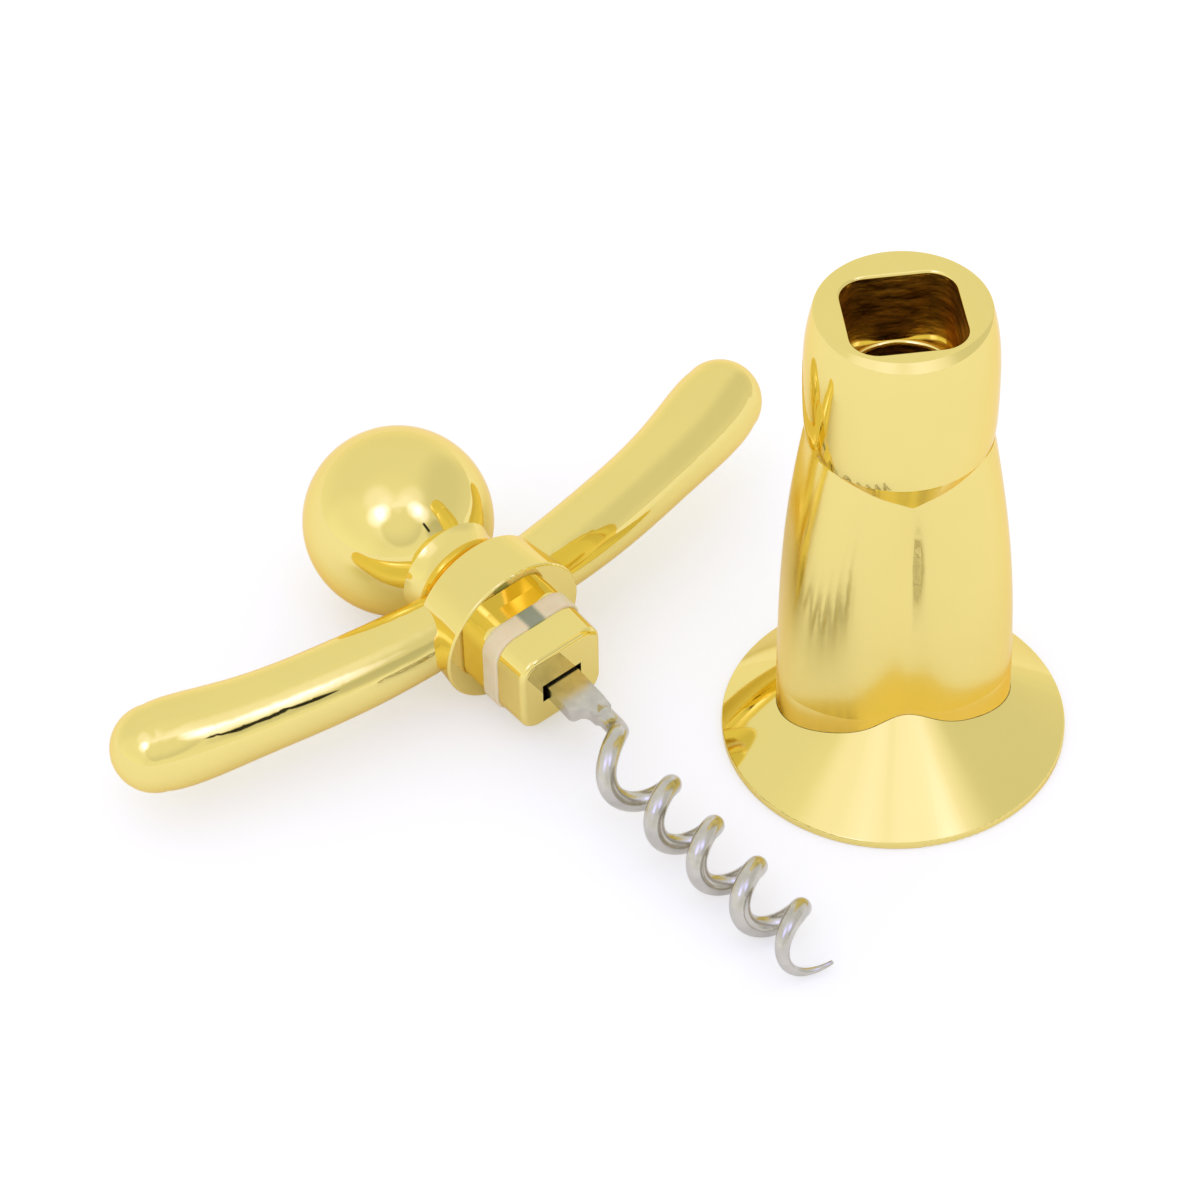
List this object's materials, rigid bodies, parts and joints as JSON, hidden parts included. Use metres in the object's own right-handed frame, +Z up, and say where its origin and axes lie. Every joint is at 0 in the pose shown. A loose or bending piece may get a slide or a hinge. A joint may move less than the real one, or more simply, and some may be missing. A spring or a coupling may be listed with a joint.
{
  "type": "corkscrew",
  "caption": "Pull corkscrew shaped as a small figure: ball head, arms as the grip, square plug and steel worm, lying beside the flared stand whose keyed socket holds it.",
  "frame": {"origin": "middle of the stand's flat underside, on the table", "axes": "+Z up along the stand, -Y towards the stand's front, +X to the right seen from the front"},
  "size_m": [0.1327, 0.106, 0.076],
  "materials": {
    "gold_head": "mirror polished, gold plated",
    "gold_handle": "mirror polished, gold plated",
    "gold_stand": "mirror polished, gold plated",
    "gold_foot": "mirror polished, gold plated",
    "seal": "milky silicone, satin",
    "steel_worm": "satin",
    "steel_hardware": "satin"
  },
  "bodies": {
    "stand": {"stand_body": "gold_stand", "stand_foot": "gold_foot", "foot_screws": "steel_hardware"},
    "handle": {"head_ball": "gold_head", "head_stud": "steel_hardware", "handle_casting": "gold_handle", "seal_ring": "seal", "worm_pin": "steel_hardware"},
    "worm": {"worm": "steel_worm"}
  },
  "joints": [
    {"name": "handle_lift", "type": "slide", "parent": "stand", "child": "handle", "axis": [0, 0, 1], "range_m": [0, 0.15]},
    {"name": "worm_rock", "type": "hinge", "parent": "handle", "child": "worm", "pos_m": [-0.04941, 0.01116, 0.01053], "axis": [0.0145, -0.0904, 0.9958], "range_deg": [-1, 5]}
  ]
}
